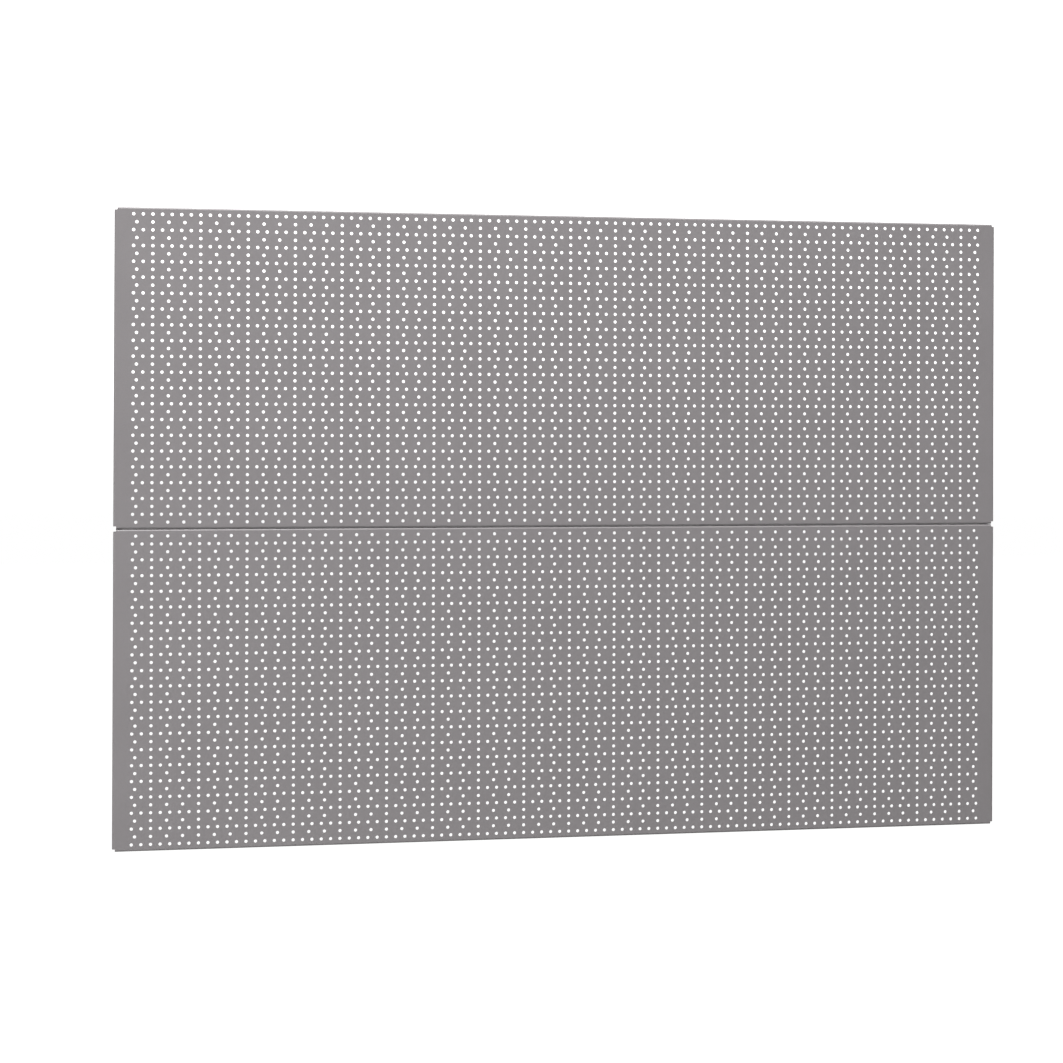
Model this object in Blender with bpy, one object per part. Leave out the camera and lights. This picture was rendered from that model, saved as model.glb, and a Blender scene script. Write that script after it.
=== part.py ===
"""Pegboard tool wall: two perforated sheet-steel trays, one above the other, hung on two wall rails.

Metres, +X right, +Y into the wall, +Z up. The origin is on the wall plane, midway between the rails and
level with the seam between the trays.

The two trays are the same part. The lower one is turned half a turn about the wall's normal, which puts
its dense edge rows at the bottom. Each tray hangs by four double-ended keyholes in its return lips, on
shoulder screws that stand on the rails in weld nuts.
"""

import math

import bmesh
import bpy
from mathutils import Vector

# Trays
TRAY_WIDTH = 1.470
TRAY_HEIGHT = 0.5085
SEAM_GAP = 0.0009  # between the two trays
WALL_TO_FACE = 0.028  # from the wall plane to the front of the perforated face
SHEET = 0.0015
BEND_RADIUS = 0.003  # outside radius of every bend
BEND_STEPS = 5  # flat facets in each bend
LIP_WIDTH = 0.0185  # the side flange's return lip, measured from the tray's side
RELIEF_WIDTH = 0.0045  # corner relief, from the tray's side inwards
RELIEF_HEIGHT = 0.0041  # corner relief, from the tray's top or bottom edge

# Peg holes: dense rows, 15 mm apart, alternate with sparse rows, 25 mm apart
PEG_HOLE_DIAMETER = 0.0053
PEG_ROW_PITCH = 0.0125
PEG_ROWS = 40
MODELLED_COLUMN_STEP = 0.075  # only every fifth dense or third sparse column is cut
MODELLED_COLUMNS = 19
MODELLED_PEG_ROWS = range(1, PEG_ROWS, 9)  # counted from the dense edge: even rows are dense
PEG_HOLE_SIDES = 8

# Fixings
TOUCH_GAP = 0.0003  # between pieces that touch
KEYHOLE_INSET = 0.0105  # keyhole centreline from the tray's side
KEYHOLE_SPREAD = 0.200  # keyhole centres above and below the tray's middle
KEYHOLE_DROP = 0.010  # from the entry opening's centre to the seat at either end
KEYHOLE_ENTRY_RADIUS = 0.0047
KEYHOLE_SLOT_RADIUS = 0.0030
KEYHOLE_SEAT_STEPS = 12
KEYHOLE_ENTRY_STEPS = 10
RAIL_WIDTH = 0.011
RAIL_DEPTH = 0.008
RAIL_LENGTH = 0.990
RAIL_CORNER = 0.0025  # outside radius of the rail's bends
RAIL_BEND_STEPS = 4
WALL_HOLE_RADIUS = 0.00225
WALL_HOLE_HEIGHTS = (-0.405, -0.135, 0.135, 0.405)
SCREW_HEAD_RADIUS = 0.0040
SCREW_HEAD_HEIGHT = 0.0024
SCREW_SHOULDER_RADIUS = 0.0027
SCREW_THREAD_RADIUS = 0.0020
SCREW_SOCKET_FLATS = 0.0025
SCREW_SOCKET_DEPTH = 0.0014
SCREW_TIP_CHAMFER = 0.0004
NUT_FLATS = 0.007
NUT_HEIGHT = 0.0045
NUT_CHAMFER = 0.0004
ROUND_STEPS = 24  # facets round a turned piece
BORE_STEPS = 12  # facets round a bore, twice a nut's six corners
SHARP_ANGLE = 35  # degrees between facets from which an edge shows

LIP_BACK = -RAIL_DEPTH - TOUCH_GAP
FACE_FRONT = -WALL_TO_FACE
NUT_BACK = -SHEET - TOUCH_GAP
NUT_FRONT = NUT_BACK - NUT_HEIGHT
HEAD_BACK = LIP_BACK - SHEET - TOUCH_GAP
TRAY_CENTRE = (TRAY_HEIGHT + SEAM_GAP) / 2
RAIL_CENTRE = TRAY_WIDTH / 2 - KEYHOLE_INSET


def clear_scene():
    for obj in list(bpy.data.objects):
        bpy.data.objects.remove(obj)


def material(name, colour, roughness, metallic):
    mat = bpy.data.materials.new(name)
    mat.use_nodes = True
    shader = mat.node_tree.nodes["Principled BSDF"]
    shader.inputs["Base Color"].default_value = (*colour, 1.0)
    shader.inputs["Roughness"].default_value = roughness
    shader.inputs["Metallic"].default_value = metallic
    return mat


def add_object(name, mesh):
    obj = bpy.data.objects.new(name, mesh)
    bpy.context.scene.collection.objects.link(obj)
    return obj


def mesh_from(bm, name):
    mesh = bpy.data.meshes.new(name)
    bm.to_mesh(mesh)
    bm.free()
    return mesh


def arc(centre, radius, start, end, steps):
    """Points on an arc from start to end, in degrees, both ends included."""
    angles = (math.radians(start + (end - start) * i / steps) for i in range(steps + 1))
    return [Vector((centre[0] + radius * math.cos(a), centre[1] + radius * math.sin(a))) for a in angles]


def prism(outline, low, high, name):
    """A closed solid between the planes y = low and y = high, from an outline of (x, z) points."""
    bm = bmesh.new()
    face = bm.faces.new([bm.verts.new((x, low, z)) for x, z in outline])
    grown = bmesh.ops.extrude_face_region(bm, geom=[face])
    moved = [v for v in grown["geom"] if isinstance(v, bmesh.types.BMVert)]
    bmesh.ops.translate(bm, verts=moved, vec=(0, high - low, 0))
    bmesh.ops.recalc_face_normals(bm, faces=bm.faces)
    return mesh_from(bm, name)


def joined(meshes_at, name):
    """One mesh of several separate closed solids, each moved to its own place."""
    bm = bmesh.new()
    for mesh, place in meshes_at:
        first = len(bm.verts)
        bm.from_mesh(mesh)
        bm.verts.ensure_lookup_table()
        bmesh.ops.translate(bm, verts=bm.verts[first:], vec=place)
    return mesh_from(bm, name)


def cut(obj, cutter_mesh, name):
    """Cut a group of closed solids out of an object."""
    cutter = add_object(name, cutter_mesh)
    cutter.hide_render = True
    cutter.display_type = "WIRE"
    modifier = obj.modifiers.new("cut_" + name, "BOOLEAN")
    modifier.operation = "DIFFERENCE"
    modifier.solver = "EXACT"
    modifier.object = cutter
    return cutter


def thicken(obj, thickness):
    """Give a folded sheet its thickness, inwards from its outer surface."""
    modifier = obj.modifiers.new("sheet_thickness", "SOLIDIFY")
    modifier.thickness = thickness
    modifier.offset = -1.0
    modifier.use_even_offset = True


def add_strip(bm, profile, start_verts, along, across):
    """Grow a bent strip from an edge of the sheet.

    profile holds (outwards, y) steps from that edge, start_verts the edge's two ends, and across turns
    an outward distance into a direction.
    """
    row = start_verts
    for outward, y in profile:
        new_row = [bm.verts.new(Vector((0, y, 0)) + end + across * outward) for end in along]
        bm.faces.new([row[0], row[1], new_row[1], new_row[0]])
        row = new_row


def flange_profile(half_size, with_lip):
    """(outward, y) points over the bend, back along the flange and, if asked, round the return lip."""
    radius = BEND_RADIUS
    bend = arc((half_size - radius, FACE_FRONT + radius), radius, -90, 0, BEND_STEPS)[1:]
    if not with_lip:
        return bend + [Vector((half_size, LIP_BACK))]
    lip_bend = arc((half_size - radius, LIP_BACK - radius), radius, 0, 90, BEND_STEPS)
    return bend + lip_bend + [Vector((half_size - LIP_WIDTH, LIP_BACK))]


def tray_sheet():
    """The tray's outer surface: the face, four bent flanges, and a return lip on each side."""
    flat_x = TRAY_WIDTH / 2 - BEND_RADIUS
    flat_z = TRAY_HEIGHT / 2 - BEND_RADIUS
    relief_x = TRAY_WIDTH / 2 - RELIEF_WIDTH
    relief_z = TRAY_HEIGHT / 2 - RELIEF_HEIGHT
    bm = bmesh.new()
    corners = {}
    outline = []
    for sx, sz in ((1, 1), (-1, 1), (-1, -1), (1, -1)):
        trio = [(flat_x, relief_z), (relief_x, relief_z), (relief_x, flat_z)]
        if sx * sz < 0:
            trio.reverse()
        for x, z in trio:
            vert = bm.verts.new((sx * x, FACE_FRONT, sz * z))
            corners[(sx, sz, x == flat_x, z == flat_z)] = vert
            outline.append(vert)
    bm.faces.new(outline)
    ends = (-1, 1)
    for s in ends:
        top = [corners[(e, s, False, True)] for e in ends]
        add_strip(
            bm,
            flange_profile(TRAY_HEIGHT / 2, False),
            top,
            [Vector((e * relief_x, 0, 0)) for e in ends],
            Vector((0, 0, s)),
        )
        side = [corners[(s, e, True, False)] for e in ends]
        add_strip(
            bm,
            flange_profile(TRAY_WIDTH / 2, True),
            side,
            [Vector((0, 0, e * relief_z)) for e in ends],
            Vector((s, 0, 0)),
        )
    bmesh.ops.recalc_face_normals(bm, faces=bm.faces)
    front = next(f for f in bm.faces if len(f.verts) > 4)
    if front.normal.y > 0:
        bmesh.ops.reverse_faces(bm, faces=bm.faces)
    return mesh_from(bm, "tray_sheet")


def keyhole_outline():
    """A double-ended keyhole: a round entry in the middle, and a slot with a round seat each way."""
    half = KEYHOLE_SLOT_RADIUS
    mouth = math.degrees(math.asin(half / KEYHOLE_ENTRY_RADIUS))
    points = arc((0, KEYHOLE_DROP), half, 0, 180, KEYHOLE_SEAT_STEPS)
    points += arc((0, 0), KEYHOLE_ENTRY_RADIUS, 90 + mouth, 270 - mouth, KEYHOLE_ENTRY_STEPS)
    points += arc((0, -KEYHOLE_DROP), half, 180, 360, KEYHOLE_SEAT_STEPS)
    points += arc((0, 0), KEYHOLE_ENTRY_RADIUS, 270 + mouth, 450 - mouth, KEYHOLE_ENTRY_STEPS)
    return points


def circle(radius, sides, turn=0.0):
    return arc((0, 0), radius, turn, turn + 360, sides)[:-1]


def keyhole_cutters():
    shape = prism(keyhole_outline(), LIP_BACK - 2 * SHEET, LIP_BACK + SHEET, "keyhole")
    places = [(sx * RAIL_CENTRE, 0, sz * KEYHOLE_SPREAD) for sx in (-1, 1) for sz in (-1, 1)]
    return joined([(shape, place) for place in places], "keyhole_cutters")


def peg_hole_cutters():
    outline = circle(PEG_HOLE_DIAMETER / 2, PEG_HOLE_SIDES)
    shape = prism(outline, FACE_FRONT - SHEET, FACE_FRONT + 2 * SHEET, "peg")
    top_row = (PEG_ROWS - 1) * PEG_ROW_PITCH / 2
    first_column = -(MODELLED_COLUMNS - 1) * MODELLED_COLUMN_STEP / 2
    columns = [first_column + i * MODELLED_COLUMN_STEP for i in range(MODELLED_COLUMNS)]
    places = [(x, 0, top_row - row * PEG_ROW_PITCH) for x in columns for row in MODELLED_PEG_ROWS]
    return joined([(shape, place) for place in places], "peg_hole_cutters")


def make_trays(paint):
    sheet = tray_sheet()
    sheet.materials.append(paint)
    for name, height, turn in (("upper_panel", TRAY_CENTRE, 0.0), ("lower_panel", -TRAY_CENTRE, math.pi)):
        tray = add_object(name, sheet)
        thicken(tray, SHEET)
        for cutter_mesh, label in ((keyhole_cutters(), "keyholes"), (peg_hole_cutters(), "peg_holes")):
            cut(tray, cutter_mesh, name + "_" + label).parent = tray
        tray.location = (0, 0, height)
        tray.rotation_euler = (0, turn, 0)


def rail_sheet():
    """The rail's outer surface: a narrow channel with its web on the wall and its legs forward."""
    radius = RAIL_CORNER
    half = RAIL_WIDTH / 2
    web = arc((half - radius, -radius), radius, 90, 0, RAIL_BEND_STEPS) + [Vector((half, -RAIL_DEPTH))]
    profile = [Vector((-x, y)) for x, y in reversed(web)] + web
    bm = bmesh.new()
    rows = [[bm.verts.new((x, y, z)) for x, y in profile] for z in (-RAIL_LENGTH / 2, RAIL_LENGTH / 2)]
    for i in range(len(profile) - 1):
        bm.faces.new([rows[0][i], rows[0][i + 1], rows[1][i + 1], rows[1][i]])
    bmesh.ops.recalc_face_normals(bm, faces=bm.faces)
    web_face = max(bm.faces, key=lambda f: f.calc_area())
    if web_face.calc_center_median().y > -radius and web_face.normal.y < 0:
        bmesh.ops.reverse_faces(bm, faces=bm.faces)
    return mesh_from(bm, "rail_sheet")


def wall_hole_cutters():
    shape = prism(circle(WALL_HOLE_RADIUS, BORE_STEPS), -2 * SHEET, SHEET, "wall_hole")
    return joined([(shape, (0, 0, z)) for z in WALL_HOLE_HEIGHTS], "wall_hole_cutters")


def make_rails(steel):
    sheet = rail_sheet()
    sheet.materials.append(steel)
    for name, side in (("left_rail", -1), ("right_rail", 1)):
        rail = add_object(name, sheet)
        thicken(rail, SHEET)
        cut(rail, wall_hole_cutters(), name + "_wall_holes").parent = rail
        rail.location = (side * RAIL_CENTRE, 0, 0)


def turned(profile, name):
    """A solid turned about the Y axis from (radius, y) points that start and end on the axis."""
    bm = bmesh.new()
    verts = [bm.verts.new((radius, y, 0)) for radius, y in profile]
    edges = [bm.edges.new(pair) for pair in zip(verts, verts[1:])]
    bmesh.ops.spin(
        bm, geom=verts + edges, axis=(0, 1, 0), cent=(0, 0, 0), angle=2 * math.pi, steps=ROUND_STEPS
    )
    bmesh.ops.remove_doubles(bm, verts=bm.verts, dist=1e-6)
    bmesh.ops.recalc_face_normals(bm, faces=bm.faces)
    mesh = mesh_from(bm, name)
    mesh.shade_smooth()
    mesh.set_sharp_from_angle(angle=math.radians(SHARP_ANGLE))
    return mesh


def screw_mesh():
    """A shoulder screw: a domed head in front of the lip, a shoulder in the keyhole, and a thread."""
    head = SCREW_HEAD_RADIUS
    front = HEAD_BACK - SCREW_HEAD_HEIGHT
    shoulder_end = NUT_FRONT - TOUCH_GAP
    tip = NUT_BACK - TOUCH_GAP
    chamfer = SCREW_TIP_CHAMFER
    profile = [
        (0, front),
        (head * 0.62, front),
        (head * 0.88, front + SCREW_HEAD_HEIGHT * 0.22),
        (head, front + SCREW_HEAD_HEIGHT * 0.65),
        (head, HEAD_BACK),
        (SCREW_SHOULDER_RADIUS, HEAD_BACK),
        (SCREW_SHOULDER_RADIUS, shoulder_end),
        (SCREW_THREAD_RADIUS, shoulder_end),
        (SCREW_THREAD_RADIUS, tip - chamfer),
        (SCREW_THREAD_RADIUS - chamfer, tip),
        (0, tip),
    ]
    return turned(profile, "shoulder_screw")


def socket_cutter():
    """The hexagon socket in a screw's head."""
    front = HEAD_BACK - SCREW_HEAD_HEIGHT
    outline = circle(SCREW_SOCKET_FLATS / math.sqrt(3), 6)
    return prism(outline, front - SHEET, front + SCREW_SOCKET_DEPTH, "socket_cutter")


def nut_mesh():
    """A hexagonal weld nut, bored through and chamfered; two of its flats face the rail's legs."""
    turn = 30
    corner = NUT_FLATS / math.sqrt(3)
    bore = SCREW_THREAD_RADIUS + TOUCH_GAP
    bm = bmesh.new()
    rings = []
    levels = (
        (NUT_BACK, corner - NUT_CHAMFER),
        (NUT_BACK - NUT_CHAMFER, corner),
        (NUT_FRONT + NUT_CHAMFER, corner),
        (NUT_FRONT, corner - NUT_CHAMFER),
    )
    for y, radius in levels:
        rings.append([bm.verts.new((x, y, z)) for x, z in circle(radius, 6, turn)])
    for lower, upper in zip(rings, rings[1:]):
        for i in range(6):
            bm.faces.new([lower[i], lower[i - 5], upper[i - 5], upper[i]])
    bore_points = circle(bore, BORE_STEPS, turn)
    bores = [[bm.verts.new((x, y, z)) for x, z in bore_points] for y in (NUT_BACK, NUT_FRONT)]
    for i in range(BORE_STEPS):
        j = (i + 1) % BORE_STEPS
        bm.faces.new([bores[0][i], bores[0][j], bores[1][j], bores[1][i]])
    for ring, hole in ((rings[0], bores[0]), (rings[-1], bores[1])):
        for i in range(6):
            j = 2 * i
            bm.faces.new([ring[i], hole[j], hole[j + 1]])
            bm.faces.new([ring[i], hole[j + 1], hole[(j + 2) % BORE_STEPS], ring[i - 5]])
    bmesh.ops.recalc_face_normals(bm, faces=bm.faces)
    return mesh_from(bm, "weld_nut")


def fixing_places():
    """A name and the (x, z) place of each keyhole's upper seat, tray by tray."""
    for tray, centre in (("upper", TRAY_CENTRE), ("lower", -TRAY_CENTRE)):
        for side, sx in (("left", -1), ("right", 1)):
            for level, sz in (("top", 1), ("bottom", -1)):
                height = centre + sz * KEYHOLE_SPREAD + KEYHOLE_DROP
                yield f"{tray}_{side}_{level}", sx * RAIL_CENTRE, height


def make_fixings(screw_steel, nut_steel):
    screw = screw_mesh()
    nut = nut_mesh()
    screw.materials.append(screw_steel)
    nut.materials.append(nut_steel)
    socket = socket_cutter()
    for label, x, z in fixing_places():
        shoulder_screw = add_object("shoulder_screw_" + label, screw)
        cut(shoulder_screw, socket, "socket_" + label).parent = shoulder_screw
        weld_nut = add_object("weld_nut_" + label, nut)
        for piece in (shoulder_screw, weld_nut):
            piece.location = (x, 0, z)


def main():
    clear_scene()
    make_trays(material("grey_powder_coat", (0.27, 0.262, 0.264), 0.42, 0.0))
    make_rails(material("zinc_rail", (0.62, 0.63, 0.64), 0.38, 1.0))
    make_fixings(
        material("zinc_screw", (0.72, 0.73, 0.74), 0.28, 1.0),
        material("plain_nut", (0.50, 0.50, 0.51), 0.45, 1.0),
    )


main()
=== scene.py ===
"""Looks of the pegboard tool wall: every peg hole cut for real, folded edges, powder coat and bare steel.

Metres, +X right, +Y into the wall, +Z up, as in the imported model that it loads.
"""

import math

import bmesh
import bpy
from mathutils import Matrix, Vector


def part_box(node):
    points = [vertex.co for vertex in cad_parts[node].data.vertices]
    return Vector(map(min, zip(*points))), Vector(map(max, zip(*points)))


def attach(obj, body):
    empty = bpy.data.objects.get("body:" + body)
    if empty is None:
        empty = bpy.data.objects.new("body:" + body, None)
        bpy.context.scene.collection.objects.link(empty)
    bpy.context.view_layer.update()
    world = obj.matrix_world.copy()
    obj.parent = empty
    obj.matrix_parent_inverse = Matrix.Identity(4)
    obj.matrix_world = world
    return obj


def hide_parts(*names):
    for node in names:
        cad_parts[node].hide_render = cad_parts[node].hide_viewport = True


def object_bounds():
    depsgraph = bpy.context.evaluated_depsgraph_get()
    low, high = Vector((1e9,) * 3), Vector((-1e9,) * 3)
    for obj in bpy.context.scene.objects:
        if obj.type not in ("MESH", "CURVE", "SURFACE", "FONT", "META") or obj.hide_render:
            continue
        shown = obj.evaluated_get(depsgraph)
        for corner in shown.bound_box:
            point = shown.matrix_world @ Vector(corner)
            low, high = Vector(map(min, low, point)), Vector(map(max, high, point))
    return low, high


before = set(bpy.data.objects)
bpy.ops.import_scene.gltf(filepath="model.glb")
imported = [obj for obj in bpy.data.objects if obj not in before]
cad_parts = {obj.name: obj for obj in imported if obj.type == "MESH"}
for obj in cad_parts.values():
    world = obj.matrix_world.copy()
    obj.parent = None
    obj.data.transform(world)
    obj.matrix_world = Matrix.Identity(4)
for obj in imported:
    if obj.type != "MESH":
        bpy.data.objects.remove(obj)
cad_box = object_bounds()

BODY = "root"
SHEET = 0.0015
BEND_RADIUS = 0.003
BEND_STEPS = 8
LIP_WIDTH = 0.0185
RELIEF_WIDTH = 0.0045
RELIEF_HEIGHT = 0.0041
HOLE_DIAMETER = 0.0053
HOLE_SIDES = 12  # a multiple of four, so that each quarter of a hole faces one side of its cell
ROWS = 40
ROW_PITCH = 0.0125
DENSE_PITCH = 0.015
DENSE_HOLES = 95
SPARSE_PITCH = 0.025
SPARSE_HOLES = 57
FIELD_WIDTH = DENSE_HOLES * DENSE_PITCH  # the perforated field, the same in both kinds of row
KEYHOLE_INSET = 0.0105
KEYHOLE_SPREAD = 0.200
KEYHOLE_DROP = 0.010
KEYHOLE_ENTRY_RADIUS = 0.0047
KEYHOLE_SLOT_RADIUS = 0.0030
SEAT_STEPS = 16
ENTRY_STEPS = 14
RAIL_CORNER = 0.0025
WALL_HOLE_RADIUS = 0.00225
WALL_HOLE_HEIGHTS = (-0.405, -0.135, 0.135, 0.405)
TURN_STEPS = 48  # round a turned piece, a multiple of a hexagon's six corners
HEAD_RADIUS = 0.0040
HEAD_HEIGHT = 0.0024
HEAD_FLAT_RADIUS = 0.0022  # the flat round the socket, inside the head's dome
HEAD_DOME_HEIGHT = 0.0015
SOCKET_FLATS = 0.0025
SOCKET_RIM = 0.0016
SOCKET_DEPTH = 0.0014
SHOULDER_RADIUS = 0.0027
EDGE_BREAK = 0.00015  # on turned edges
THREAD_RADIUS = 0.0020
THREAD_PITCH = 0.0007
THREAD_DEPTH = 0.0003
THREAD_ROWS = 8  # rings for each turn of thread
NUT_FLATS = 0.007
NUT_TURN = math.radians(30)  # two of the nut's flats face the rail's legs
NUT_CONE_HEIGHT = 0.00034
NUT_BORE_RADIUS = 0.0023
CONE_PARTS = (1.0, 0.75, 0.5, 0.25, 0.0)  # the rings of the cone, from the nut's corners to its flats
WELD_SPREAD = 0.00035  # how far the weld's squeeze-out stands off the nut
WELD_PARTS = (1.0, 0.9, 0.45, 0.0)  # its rings, as shares of that, from the web to the nut's sides
WELD_RIPPLE = 0.2
WELD_RIPPLES = 7  # round the nut
SHEET_SHARP_ANGLE = 40
TURNED_SHARP_ANGLE = 25
FLOOR_SIZE = 40.0
FLOOR_DROP = 0.9  # the wall hangs this far above the floor
FLOOR_BOUNCE = 0.30  # the floor's grey as a source of bounced light
FLOOR_SEEN = 0.08  # its grey to the camera, under its glow
FLOOR_GLOW = 0.96  # its glow to the camera only, which makes it white
FLOOR_ROUGHNESS = 0.9
GLOW_LEVEL = 1.8  # how bright the backdrop is to the camera, from GLOW_HEIGHT above the horizon upwards
GLOW_HEIGHT = 0.09
ROOM_NADIR = 0.12  # the studio in front of the part, as grey levels from straight down to straight up
ROOM_ZENITH = 0.10
ROOM_LEVELS = ((0.30, 0.20), (0.46, 0.34), (0.60, 0.34), (0.76, 0.20))
ROOM_BEHIND = 1.0  # its level behind the part, and where it fades from front to back
ROOM_FADE_START = -0.05
ROOM_FADE_END = 0.35

PAINT_DARK = (0.226, 0.212, 0.217)
PAINT_LIGHT = (0.272, 0.256, 0.262)
PAINT_ROUGHNESS = (0.36, 0.46)
PAINT_IOR = 1.5
CLOUD_SCALE = 9.0  # noise scales are in features a metre
FLECK_SCALE = 1400.0
FLECK_SHARE = 0.8  # how much of the paint's unevenness is fleck, the rest being cloud
PEEL_SCALE = 620.0
PEEL_STRENGTH = 0.55
PEEL_DEPTH = 0.00006
RAIL_TINT = (0.66, 0.67, 0.68)
RAIL_ROUGHNESS = 0.36
SPANGLE_SCALE = 160.0
SPANGLE_DARKEST = 0.84  # the darkest crystal, as a share of the lightest
SPANGLE_ROUGHNESS = (-0.06, 0.08)  # how far a crystal is from the mean roughness
GRAIN_SCALE = 1500.0
GRAIN_STRENGTH = 0.2
GRAIN_DEPTH = 0.00002
SCREW_TINT = (0.74, 0.75, 0.78)
SCREW_ROUGHNESS = 0.24
NUT_TINT = (0.52, 0.51, 0.50)
NUT_ROUGHNESS = 0.42
GRIME_SCALE = 300.0
GRIME_DARKEST = 0.8
GRIME_ROUGHNESS = (-0.05, 0.1)
MARK_SCALE = 4000.0
MARK_STRENGTH = 0.25
MARK_DEPTH = 0.00001

SENSOR_WIDTH = 36.0
LENS = 75.55
LENS_SHIFT = (-0.00056, -0.11666)
CAMERA_X = -0.7385
CAMERA_DISTANCE = 3.5788  # from the panels' faces
CAMERA_Z = 0.1870
CAMERA_RIGHT = (0.98267, -0.18533, 0.00362)
CAMERA_FORWARD = (0.18532, 0.98268, 0.00214)
CAMERA_REACH = 100.0

# name, place, the point it aims at, width and height, watts
LIGHTS = (
    ("key", (-2.4, -1.8, 0.0), (0, 0, 0), (1.0, 1.0), 9.5),
    ("overhead_left", (-1.2, -2.5, 5.0), (-1.2, 0, 0), (2.6, 2.6), 418.0),
    ("overhead_right", (2.55, -2.5, 5.0), (2.55, 0, 0), (0.5, 2.6), 100.0),
    ("low_left", (-0.9, -1.2, -1.3), (-0.9, 0, 0), (1.6, 0.5), 2.3),
)

panel_low, panel_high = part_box("upper_panel")
lower_low, lower_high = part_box("lower_panel")
PANEL_WIDTH = panel_high.x - panel_low.x
PANEL_HEIGHT = panel_high.z - panel_low.z
FACE_FRONT = panel_low.y
LIP_BACK = panel_high.y
rail_low, rail_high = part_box("left_rail")
screw_low, screw_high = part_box("shoulder_screw_upper_left_top")
nut_low, nut_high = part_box("weld_nut_upper_left_top")


# Node materials


def new_material(name):
    """A new node material and its Principled shader."""
    mat = bpy.data.materials.new(name)
    mat.use_nodes = True
    return mat, mat.node_tree.nodes["Principled BSDF"]


def add_node(mat, kind, **values):
    """A node of one kind, with its sockets and settings set by name."""
    node = mat.node_tree.nodes.new(kind)
    for key, value in values.items():
        if key in node.inputs:
            node.inputs[key].default_value = value
        else:
            setattr(node, key, value)
    return node


def link(mat, source, target):
    mat.node_tree.links.new(source, target)


def grey(level):
    return (level, level, level, 1.0)


def object_noise(mat, scale, detail=3.0, roughness=0.55):
    """Noise in the object's own coordinates, in features a metre."""
    coords = add_node(mat, "ShaderNodeTexCoord")
    noise = add_node(mat, "ShaderNodeTexNoise", Scale=scale, Detail=detail, Roughness=roughness)
    link(mat, coords.outputs["Object"], noise.inputs["Vector"])
    return noise.outputs["Fac"]


def ramp(mat, source, low, high, start=0.3, end=0.7):
    """A colour ramp from one grey or colour to another."""
    node = add_node(mat, "ShaderNodeValToRGB")
    stops = node.color_ramp.elements
    stops[0].position, stops[1].position = start, end
    stops[0].color, stops[1].color = (*low, 1.0), (*high, 1.0)
    link(mat, source, node.inputs["Fac"])
    return node.outputs["Color"]


def span(mat, source, low, high):
    """A 0 to 1 value spread over a range."""
    node = add_node(mat, "ShaderNodeMapRange")
    node.inputs["To Min"].default_value = low
    node.inputs["To Max"].default_value = high
    link(mat, source, node.inputs["Value"])
    return node.outputs["Result"]


def bump(mat, source, strength, distance):
    node = add_node(mat, "ShaderNodeBump", Strength=strength, Distance=distance)
    link(mat, source, node.inputs["Height"])
    return node.outputs["Normal"]


def powder_coat():
    """Semi-gloss grey powder coat: faint cloudiness, a fine orange peel, and a satin sheen."""
    mat, shader = new_material("panel_powder_coat")
    cloud = object_noise(mat, CLOUD_SCALE, detail=2.0)
    fleck = object_noise(mat, FLECK_SCALE, detail=2.0)
    mixed = add_node(mat, "ShaderNodeMix", data_type="FLOAT")
    mixed.inputs["Factor"].default_value = FLECK_SHARE
    link(mat, cloud, mixed.inputs["A"])
    link(mat, fleck, mixed.inputs["B"])
    colour = ramp(mat, mixed.outputs["Result"], PAINT_DARK, PAINT_LIGHT)
    link(mat, colour, shader.inputs["Base Color"])
    link(mat, span(mat, cloud, *PAINT_ROUGHNESS), shader.inputs["Roughness"])
    peel = object_noise(mat, PEEL_SCALE, detail=1.5)
    link(mat, bump(mat, peel, PEEL_STRENGTH, PEEL_DEPTH), shader.inputs["Normal"])
    shader.inputs["Metallic"].default_value = 0.0
    shader.inputs["IOR"].default_value = PAINT_IOR
    return mat


def galvanised(name, tint, roughness):
    """Zinc-coated steel with a faint spangle."""
    mat, shader = new_material(name)
    coords = add_node(mat, "ShaderNodeTexCoord")
    cells = add_node(mat, "ShaderNodeTexVoronoi", Scale=SPANGLE_SCALE)
    link(mat, coords.outputs["Object"], cells.inputs["Vector"])
    dark = tuple(SPANGLE_DARKEST * c for c in tint)
    spangle = add_node(mat, "ShaderNodeSeparateColor")
    link(mat, cells.outputs["Color"], spangle.inputs["Color"])
    link(mat, ramp(mat, spangle.outputs["Red"], dark, tint, 0.0, 1.0), shader.inputs["Base Color"])
    smoothest, roughest = (roughness + change for change in SPANGLE_ROUGHNESS)
    uneven = span(mat, spangle.outputs["Green"], smoothest, roughest)
    link(mat, uneven, shader.inputs["Roughness"])
    grain = object_noise(mat, GRAIN_SCALE)
    link(mat, bump(mat, grain, GRAIN_STRENGTH, GRAIN_DEPTH), shader.inputs["Normal"])
    shader.inputs["Metallic"].default_value = 1.0
    return mat


def machined(name, tint, roughness):
    """Turned or pressed steel, with fine marks and slightly uneven brightness."""
    mat, shader = new_material(name)
    grime = object_noise(mat, GRIME_SCALE)
    dark = tuple(GRIME_DARKEST * c for c in tint)
    link(mat, ramp(mat, grime, dark, tint), shader.inputs["Base Color"])
    smoothest, roughest = (roughness + change for change in GRIME_ROUGHNESS)
    link(mat, span(mat, grime, smoothest, roughest), shader.inputs["Roughness"])
    marks = object_noise(mat, MARK_SCALE, detail=2.0)
    link(mat, bump(mat, marks, MARK_STRENGTH, MARK_DEPTH), shader.inputs["Normal"])
    shader.inputs["Metallic"].default_value = 1.0
    return mat


# Mesh helpers


def arc(centre, radius, start, end, steps):
    """Points on an arc from start to end, in degrees, both ends included."""
    angles = [math.radians(start + (end - start) * i / steps) for i in range(steps + 1)]
    return [(centre[0] + radius * math.cos(a), centre[1] + radius * math.sin(a)) for a in angles]


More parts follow.
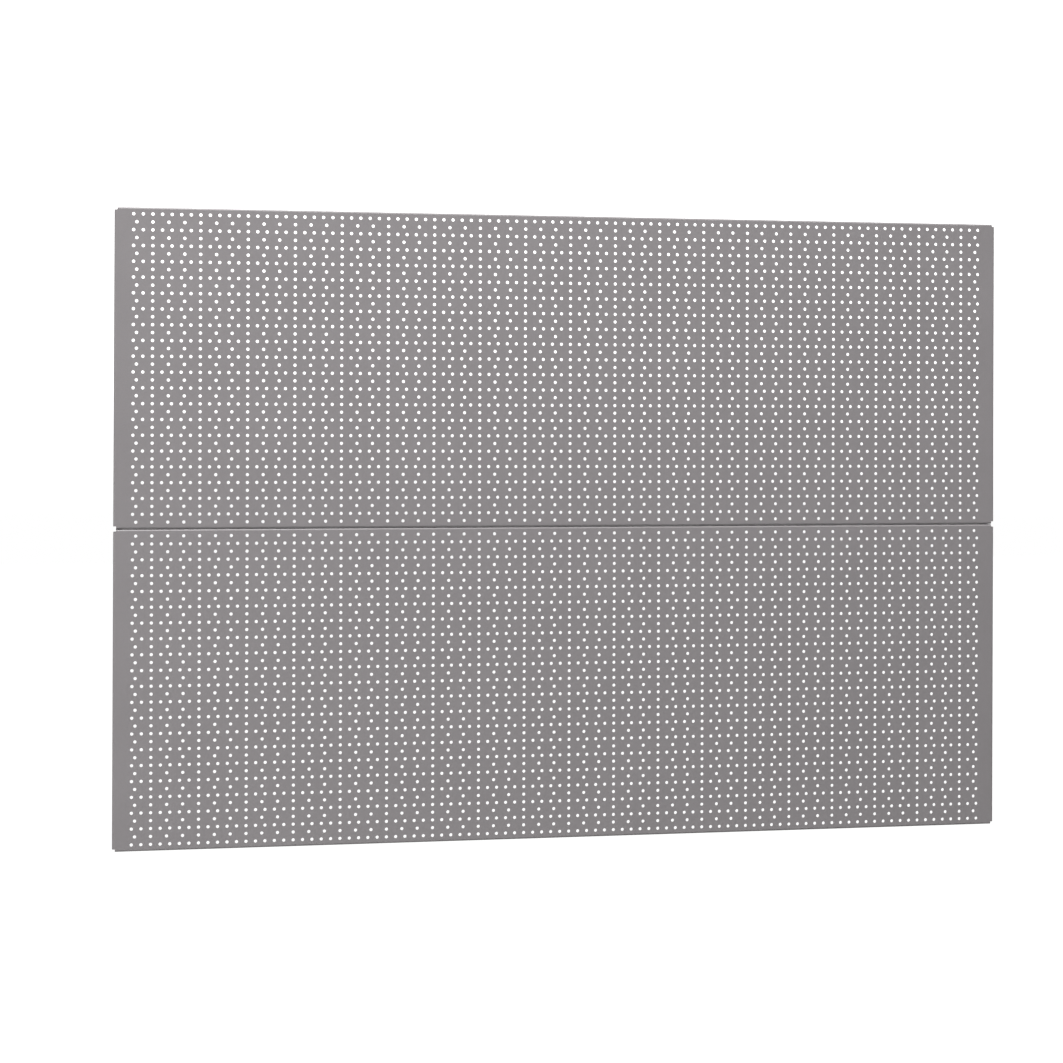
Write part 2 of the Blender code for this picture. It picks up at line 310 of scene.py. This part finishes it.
class Sheet:
    """The outer surface of a folded sheet, as vertices shared by place and faces."""

    def __init__(self):
        self.points = []
        self.faces = []
        self.index = {}

    def vertex(self, x, y, z):
        key = (round(x, 7), round(y, 7), round(z, 7))
        if key not in self.index:
            self.index[key] = len(self.points)
            self.points.append((x, y, z))
        return self.index[key]

    def face(self, corners):
        self.faces.append([self.vertex(*corner) for corner in corners])

    def mesh(self, name):
        mesh = bpy.data.meshes.new(name)
        mesh.from_pydata(self.points, [], self.faces)
        mesh.validate()
        return mesh


def row_borders(row):
    """The dense-pitch corners between a row's cells, as counts from the field's left side."""
    if row % 2 == 0:
        return list(range(DENSE_HOLES + 1))
    return [round(j * SPARSE_PITCH / DENSE_PITCH) for j in range(SPARSE_HOLES + 1)]


def row_holes(row):
    """The x places of a row's holes. Even rows are dense."""
    count, pitch = (DENSE_HOLES, DENSE_PITCH) if row % 2 == 0 else (SPARSE_HOLES, SPARSE_PITCH)
    return [(i - (count - 1) / 2) * pitch for i in range(count)]


def corner_x(i):
    return -FIELD_WIDTH / 2 + i * DENSE_PITCH


def add_cell(sheet, left, right, top, bottom, hole_x, y):
    """The sheet round one peg hole: four faces, each from a side of the cell to a quarter of the hole."""
    middle = (top + bottom) / 2
    quarter = HOLE_SIDES // 4
    ring = [(x, y, z) for x, z in arc((hole_x, middle), HOLE_DIAMETER / 2, 45, 405, HOLE_SIDES)[:-1]]
    upper = [(corner_x(i), y, top) for i in range(left, right + 1)]
    lower = [(corner_x(i), y, bottom) for i in range(left, right + 1)]
    sides = (upper[::-1], [upper[0], lower[0]], lower, [lower[-1], upper[-1]])
    for n, side in enumerate(sides):
        part = [ring[(n * quarter + k) % HOLE_SIDES] for k in range(quarter + 1)]
        sheet.face(side + part[::-1])


def add_face(sheet, y):
    """The perforated face, up to the bends and round the corner reliefs."""
    flat_x = PANEL_WIDTH / 2 - BEND_RADIUS
    flat_z = PANEL_HEIGHT / 2 - BEND_RADIUS
    relief_x = PANEL_WIDTH / 2 - RELIEF_WIDTH
    relief_z = PANEL_HEIGHT / 2 - RELIEF_HEIGHT
    field_top = ROWS * ROW_PITCH / 2
    lines = [field_top - row * ROW_PITCH for row in range(ROWS + 1)]
    for row in range(ROWS):
        borders = row_borders(row)
        for left, right, hole_x in zip(borders, borders[1:], row_holes(row)):
            add_cell(sheet, left, right, lines[row], lines[row + 1], hole_x, y)
    for side in (-1, 1):
        inner = side * FIELD_WIDTH / 2
        outer = side * flat_x
        edge = [(inner, y, z) for z in lines if abs(z) < relief_z]
        above = [(outer, y, relief_z), (inner, y, relief_z)]
        below = [(inner, y, -relief_z), (outer, y, -relief_z)]
        sheet.face(above + edge + below)
        band = [(corner_x(i), y, side * field_top) for i in range(DENSE_HOLES + 1)]
        ends = [(e * FIELD_WIDTH / 2, y, side * relief_z) for e in (1, -1)]
        corners = [(relief_x, y, side * relief_z), (relief_x, y, side * flat_z)]
        corners += [(-relief_x, y, side * flat_z), (-relief_x, y, side * relief_z)]
        sheet.face([ends[1]] + band + [ends[0]] + corners)


def add_flange(sheet, profile, ends):
    """A bent strip through (outward, y) points, between two end points that each profile point gives."""
    rows = [[end(outward, y) for end in ends] for outward, y in profile]
    for near, far in zip(rows, rows[1:]):
        sheet.face([near[0], near[1], far[1], far[0]])
    return rows


def bend_profile(half_size):
    radius = BEND_RADIUS
    return arc((half_size - radius, FACE_FRONT + radius), radius, -90, 0, BEND_STEPS)


def build_panel_sheet():
    """One panel's outer surface, centred on its own middle."""
    sheet = Sheet()
    half_x, half_z = PANEL_WIDTH / 2, PANEL_HEIGHT / 2
    relief_x, relief_z = half_x - RELIEF_WIDTH, half_z - RELIEF_HEIGHT
    add_face(sheet, FACE_FRONT)
    for s in (-1, 1):
        top = bend_profile(half_z) + [(half_z, LIP_BACK)]
        add_flange(sheet, top, [lambda out, y, e=e: (e * relief_x, y, s * out) for e in (-1, 1)])
        side = bend_profile(half_x)
        side += arc((half_x - BEND_RADIUS, LIP_BACK - BEND_RADIUS), BEND_RADIUS, 0, 90, BEND_STEPS)
        side += [(half_x - LIP_WIDTH, LIP_BACK)]
        add_flange(sheet, side, [lambda out, y, e=e: (s * out, y, e * relief_z) for e in (-1, 1)])
    return sheet.mesh("panel_sheet")


def keyhole_outline():
    """A double-ended keyhole: a round entry in the middle, and a slot with a round seat each way."""
    half = KEYHOLE_SLOT_RADIUS
    mouth = math.degrees(math.asin(half / KEYHOLE_ENTRY_RADIUS))
    points = arc((0, KEYHOLE_DROP), half, 0, 180, SEAT_STEPS)
    points += arc((0, 0), KEYHOLE_ENTRY_RADIUS, 90 + mouth, 270 - mouth, ENTRY_STEPS)
    points += arc((0, -KEYHOLE_DROP), half, 180, 360, SEAT_STEPS)
    points += arc((0, 0), KEYHOLE_ENTRY_RADIUS, 270 + mouth, 450 - mouth, ENTRY_STEPS)
    return points


def prism(bm, outline, low, high, place):
    """Add a closed solid between two planes across Y, from an outline of (x, z) points."""
    face = bm.faces.new([bm.verts.new((x + place[0], low, z + place[1])) for x, z in outline])
    grown = bmesh.ops.extrude_face_region(bm, geom=[face])
    moved = [v for v in grown["geom"] if isinstance(v, bmesh.types.BMVert)]
    bmesh.ops.translate(bm, verts=moved, vec=(0, high - low, 0))


def cutter_mesh(name, outline, low, high, places):
    """Closed cutters of one (x, z) outline, between two planes across Y."""
    bm = bmesh.new()
    for place in places:
        prism(bm, outline, low, high, place)
    bmesh.ops.recalc_face_normals(bm, faces=bm.faces)
    mesh = bpy.data.meshes.new(name)
    bm.to_mesh(mesh)
    bm.free()
    return mesh


def keyhole_cutter():
    inset = PANEL_WIDTH / 2 - KEYHOLE_INSET
    places = [(sx * inset, sz * KEYHOLE_SPREAD) for sx in (-1, 1) for sz in (-1, 1)]
    return cutter_mesh("keyhole_cutter", keyhole_outline(), LIP_BACK - 2 * SHEET, LIP_BACK + SHEET, places)


def applied(obj):
    """Bake an object's modifiers into its mesh."""
    deps = bpy.context.evaluated_depsgraph_get()
    mesh = bpy.data.meshes.new_from_object(obj.evaluated_get(deps), depsgraph=deps)
    obj.modifiers.clear()
    obj.data = mesh
    return mesh


def smooth(obj, sharp_angle):
    """Smooth shading that keeps edges sharper than an angle, with normals led by the large flat faces."""
    obj.data.shade_smooth()
    obj.data.set_sharp_from_angle(angle=math.radians(sharp_angle))
    modifier = obj.modifiers.new("weighted_normals", "WEIGHTED_NORMAL")
    modifier.keep_sharp = True
    applied(obj)


def add_object(name, mesh):
    obj = bpy.data.objects.new(name, mesh)
    bpy.context.scene.collection.objects.link(obj)
    return obj


def cut_sheet(name, sheet, cutter, front):
    """A folded sheet's finished mesh: thickened inwards from its outer surface, cut, and shaded.

    front is the way that the largest face of the outer surface looks.
    """
    obj = add_object(name, sheet)
    cutting = add_object(name + "_cutter", cutter)
    thick = obj.modifiers.new("thickness", "SOLIDIFY")
    thick.thickness = SHEET
    thick.offset = -1.0
    thick.use_even_offset = True
    cut = obj.modifiers.new("holes", "BOOLEAN")
    cut.operation = "DIFFERENCE"
    cut.solver = "EXACT"
    cut.object = cutting
    bm = bmesh.new()
    bm.from_mesh(sheet)
    bmesh.ops.recalc_face_normals(bm, faces=bm.faces)
    if max(bm.faces, key=lambda f: f.calc_area()).normal.dot(front) < 0:
        bmesh.ops.reverse_faces(bm, faces=bm.faces)
    bm.to_mesh(sheet)
    bm.free()
    applied(obj)
    bpy.data.objects.remove(cutting)
    smooth(obj, SHEET_SHARP_ANGLE)
    mesh = obj.data
    bpy.data.objects.remove(obj)
    return mesh


def make_panels():
    mesh = cut_sheet("panel_maker", build_panel_sheet(), keyhole_cutter(), Vector((0, -1, 0)))
    mesh.materials.clear()
    mesh.materials.append(powder_coat())
    places = (("upper_panel", panel_low, panel_high, 0.0), ("lower_panel", lower_low, lower_high, math.pi))
    for node, low, high, turn in places:
        panel = add_object(node + "_perforated", mesh)
        panel.location = (0, 0, (low.z + high.z) / 2)
        panel.rotation_euler = (0, turn, 0)
        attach(panel, BODY)
        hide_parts(node)


def rail_sheet(length):
    """The outer surface of a rail, upright, with its web on the wall and its legs towards the panel."""
    half = (rail_high.x - rail_low.x) / 2
    side = arc((half - RAIL_CORNER, rail_high.y - RAIL_CORNER), RAIL_CORNER, 90, 0, BEND_STEPS)
    side.append((half, rail_low.y))
    profile = [(-x, y) for x, y in reversed(side)] + side
    sheet = Sheet()
    for (x0, y0), (x1, y1) in zip(profile, profile[1:]):
        sheet.face([(x0, y0, -length / 2), (x1, y1, -length / 2), (x1, y1, length / 2), (x0, y0, length / 2)])
    return sheet.mesh("rail_sheet")


def wall_hole_cutter():
    outline = arc((0, 0), WALL_HOLE_RADIUS, 0, 360, TURN_STEPS)[:-1]
    places = [(0, z) for z in WALL_HOLE_HEIGHTS]
    return cutter_mesh("wall_hole_cutter", outline, rail_high.y - 2 * SHEET, rail_high.y + SHEET, places)


def hexagon(flats, turn=0.0):
    """The radius of a hexagon in each direction, with a corner at the angle turn."""
    sixth = math.pi / 3
    return lambda a: flats / 2 / math.cos((a - turn) % sixth - sixth / 2)


def circle(radius):
    return lambda a: radius


def thread(radius, y):
    """The radius of a thread in each direction, at one place along its axis."""
    return lambda a: radius - THREAD_DEPTH * abs(2 * ((y / THREAD_PITCH - a / math.tau) % 1.0) - 1)


def thread_rows(radius, start, end):
    count = round(abs(end - start) / THREAD_PITCH * THREAD_ROWS)
    places = [start + (end - start) * k / count for k in range(count + 1)]
    return [(y, thread(radius, y)) for y in places]


def radial_mesh(name, rows, closed=False):
    """A solid from rings round the Y axis. Rows are (y, radius by direction).

    The last ring joins the first if the solid is closed like a tube; if not, both are capped.
    """
    count = TURN_STEPS
    angles = [math.tau * i / count for i in range(count)]
    points = [(radius(a) * math.cos(a), y, radius(a) * math.sin(a)) for y, radius in rows for a in angles]
    faces = []
    for k in range(len(rows) if closed else len(rows) - 1):
        near, far = k * count, (k + 1) % len(rows) * count
        for i in range(count):
            j = (i + 1) % count
            faces.append((near + i, near + j, far + j, far + i))
    if not closed:
        faces += [tuple(range(count)), tuple(range((len(rows) - 1) * count, len(rows) * count))]
    mesh = bpy.data.meshes.new(name)
    mesh.from_pydata(points, [], faces)
    bm = bmesh.new()
    bm.from_mesh(mesh)
    bmesh.ops.recalc_face_normals(bm, faces=bm.faces)
    bm.to_mesh(mesh)
    bm.free()
    return mesh


def screw_mesh():
    """A shoulder screw: a domed head with a hexagon socket, a plain shoulder and a thread."""
    front, tip = screw_low.y, screw_high.y
    head_back = front + HEAD_HEIGHT
    shoulder_end = nut_low.y - EDGE_BREAK
    rows = [(front + SOCKET_DEPTH, hexagon(SOCKET_FLATS)), (front + EDGE_BREAK, hexagon(SOCKET_FLATS))]
    rows.append((front, circle(SOCKET_RIM)))
    dome = HEAD_RADIUS - HEAD_FLAT_RADIUS
    for x, y in arc((0, 0), 1.0, -90, 0, BEND_STEPS):
        rows.append((front + HEAD_DOME_HEIGHT * (1 + y), circle(HEAD_FLAT_RADIUS + dome * x)))
    rows += [(head_back - EDGE_BREAK, circle(HEAD_RADIUS)), (head_back, circle(HEAD_RADIUS - EDGE_BREAK))]
    rows += [(head_back, circle(SHOULDER_RADIUS)), (shoulder_end - EDGE_BREAK, circle(SHOULDER_RADIUS))]
    rows += [(shoulder_end, circle(SHOULDER_RADIUS - EDGE_BREAK))]
    rows += [(shoulder_end, circle(THREAD_RADIUS - THREAD_DEPTH))]
    rows += thread_rows(THREAD_RADIUS, shoulder_end + THREAD_DEPTH, tip - THREAD_DEPTH)
    rows.append((tip, circle(THREAD_RADIUS - 2 * THREAD_DEPTH)))
    return radial_mesh("shoulder_screw", rows)


def nut_mesh():
    """A hexagonal weld nut: a coned front, a threaded bore, and the squeeze-out of its weld on the web."""
    front, back = nut_low.y, nut_high.y
    sides = hexagon(NUT_FLATS, NUT_TURN)
    corner = NUT_FLATS / math.sqrt(3)
    weld_end = rail_high.y - SHEET - EDGE_BREAK
    rows = []
    ripple = lambda a: 1 - WELD_RIPPLE + WELD_RIPPLE * math.sin(WELD_RIPPLES * a)
    for part in WELD_PARTS:
        y = weld_end - (1 - part) * 2 * WELD_SPREAD
        rows.append((y, lambda a, part=part: sides(a) + part * WELD_SPREAD * ripple(a)))
    for part in CONE_PARTS:
        limit = NUT_FLATS / 2 + part * (corner - NUT_FLATS / 2)
        rows.append((front + part * NUT_CONE_HEIGHT, lambda a, limit=limit: min(sides(a), limit)))
    rows.append((front, circle(NUT_BORE_RADIUS + THREAD_DEPTH)))
    rows += thread_rows(NUT_BORE_RADIUS + THREAD_DEPTH / 2, front + THREAD_DEPTH, back - THREAD_DEPTH)
    rows.append((weld_end, circle(NUT_BORE_RADIUS + THREAD_DEPTH)))
    return radial_mesh("weld_nut", rows, closed=True)


def place_copies(mesh, ending, finish):
    """Put one mesh, modelled about the Y axis or its own middle, at each CAD node of a kind."""
    mesh.materials.clear()
    mesh.materials.append(finish)
    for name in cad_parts:
        if not ending(name):
            continue
        low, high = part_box(name)
        piece = add_object(name + "_finished", mesh)
        piece.location = ((low.x + high.x) / 2, 0, (low.z + high.z) / 2)
        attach(piece, BODY)
        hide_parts(name)


def smoothed(mesh):
    """A mesh shaded smooth, through an object that is removed again."""
    obj = add_object("shading_maker", mesh)
    smooth(obj, TURNED_SHARP_ANGLE)
    mesh = obj.data
    bpy.data.objects.remove(obj)
    return mesh


def make_rails():
    outer = rail_sheet(rail_high.z - rail_low.z)
    rail = cut_sheet("rail_maker", outer, wall_hole_cutter(), Vector((0, 1, 0)))
    finish = galvanised("rail_galvanised", RAIL_TINT, RAIL_ROUGHNESS)
    place_copies(rail, lambda name: name.endswith("_rail"), finish)


def make_fixings():
    plate = machined("screw_zinc_plate", SCREW_TINT, SCREW_ROUGHNESS)
    plain = machined("nut_plain_steel", NUT_TINT, NUT_ROUGHNESS)
    place_copies(smoothed(screw_mesh()), lambda name: name.startswith("shoulder"), plate)
    place_copies(smoothed(nut_mesh()), lambda name: name.startswith("weld"), plain)


# Stage


def make_camera():
    data = bpy.data.cameras.new("camera")
    cam = bpy.data.objects.new("camera", data)
    bpy.context.scene.collection.objects.link(cam)
    bpy.context.scene.camera = cam
    data.sensor_width = SENSOR_WIDTH
    data.lens = LENS
    data.shift_x, data.shift_y = LENS_SHIFT
    right = Vector(CAMERA_RIGHT)
    forward = Vector(CAMERA_FORWARD).normalized()
    right = (right - forward * right.dot(forward)).normalized()
    up = right.cross(forward)
    turn = Matrix((right, up, -forward)).transposed()
    place = (CAMERA_X, FACE_FRONT - CAMERA_DISTANCE, CAMERA_Z)
    cam.matrix_world = Matrix.Translation(place) @ turn.to_4x4()
    data.clip_end = CAMERA_REACH


def make_world():
    """White to the camera; for light and reflections a soft studio, dim overhead and underfoot."""
    world = bpy.data.worlds.new("studio")
    bpy.context.scene.world = world
    world.use_nodes = True
    coords = add_node(world, "ShaderNodeTexCoord")
    split = add_node(world, "ShaderNodeSeparateXYZ")
    link(world, coords.outputs["Generated"], split.inputs["Vector"])
    glow = add_node(world, "ShaderNodeMapRange")
    glow.inputs["From Min"].default_value = -GLOW_HEIGHT / 2
    glow.inputs["From Max"].default_value = GLOW_HEIGHT
    glow.inputs["To Min"].default_value = 1.0
    glow.inputs["To Max"].default_value = GLOW_LEVEL
    link(world, split.outputs["Z"], glow.inputs["Value"])
    backdrop = world.node_tree.nodes["Background"]
    backdrop.inputs["Color"].default_value = grey(1.0)
    link(world, glow.outputs["Result"], backdrop.inputs["Strength"])
    height = add_node(world, "ShaderNodeMapRange")
    height.inputs["From Min"].default_value = -1.0
    link(world, split.outputs["Z"], height.inputs["Value"])
    front = add_node(world, "ShaderNodeValToRGB")
    stops = front.color_ramp.elements
    stops[0].position, stops[0].color = 0.0, grey(ROOM_NADIR)
    stops[1].position, stops[1].color = 1.0, grey(ROOM_ZENITH)
    for place, level in ROOM_LEVELS:
        stops.new(place).color = grey(level)
    link(world, height.outputs["Result"], front.inputs["Fac"])
    behind = add_node(world, "ShaderNodeMapRange", interpolation_type="SMOOTHSTEP")
    behind.inputs["From Min"].default_value = ROOM_FADE_START
    behind.inputs["From Max"].default_value = ROOM_FADE_END
    link(world, split.outputs["Y"], behind.inputs["Value"])
    room = add_node(world, "ShaderNodeMix", data_type="RGBA")
    link(world, behind.outputs["Result"], room.inputs["Factor"])
    link(world, front.outputs["Color"], room.inputs["A"])
    room.inputs["B"].default_value = grey(ROOM_BEHIND)
    studio = add_node(world, "ShaderNodeBackground", Strength=1.0)
    link(world, room.outputs["Result"], studio.inputs["Color"])
    rays = add_node(world, "ShaderNodeLightPath")
    choice = add_node(world, "ShaderNodeMixShader")
    link(world, rays.outputs["Is Camera Ray"], choice.inputs[0])
    link(world, studio.outputs["Background"], choice.inputs[1])
    link(world, backdrop.outputs["Background"], choice.inputs[2])
    link(world, choice.outputs["Shader"], world.node_tree.nodes["World Output"].inputs["Surface"])


def make_floor():
    """A floor well below the part, white to the camera and mid grey as a source of bounced light."""
    mesh = bpy.data.meshes.new("floor")
    s = FLOOR_SIZE / 2
    z = cad_box[0].z - FLOOR_DROP
    mesh.from_pydata([(-s, -s, z), (s, -s, z), (s, s, z), (-s, s, z)], [], [(0, 1, 2, 3)])
    floor = add_object("floor", mesh)
    mat, shader = new_material("floor_pale")
    seen = add_node(mat, "ShaderNodeLightPath").outputs["Is Camera Ray"]
    link(mat, span(mat, seen, FLOOR_BOUNCE, FLOOR_SEEN), shader.inputs["Base Color"])
    link(mat, span(mat, seen, 0.0, FLOOR_GLOW), shader.inputs["Emission Strength"])
    shader.inputs["Emission Color"].default_value = grey(1.0)
    shader.inputs["Roughness"].default_value = FLOOR_ROUGHNESS
    mesh.materials.append(mat)


def area_light(name, place, target, size, power):
    data = bpy.data.lights.new(name, "AREA")
    data.shape = "RECTANGLE"
    data.size, data.size_y = size
    data.energy = power
    lamp = bpy.data.objects.new(name, data)
    bpy.context.scene.collection.objects.link(lamp)
    lamp.location = place
    aim = Vector(target) - Vector(place)
    lamp.rotation_euler = aim.to_track_quat("-Z", "Y").to_euler()


bpy.context.scene.view_settings.view_transform = "Standard"
make_camera()
make_world()
make_floor()
for light in LIGHTS:
    area_light(*light)
make_panels()
make_rails()
make_fixings()
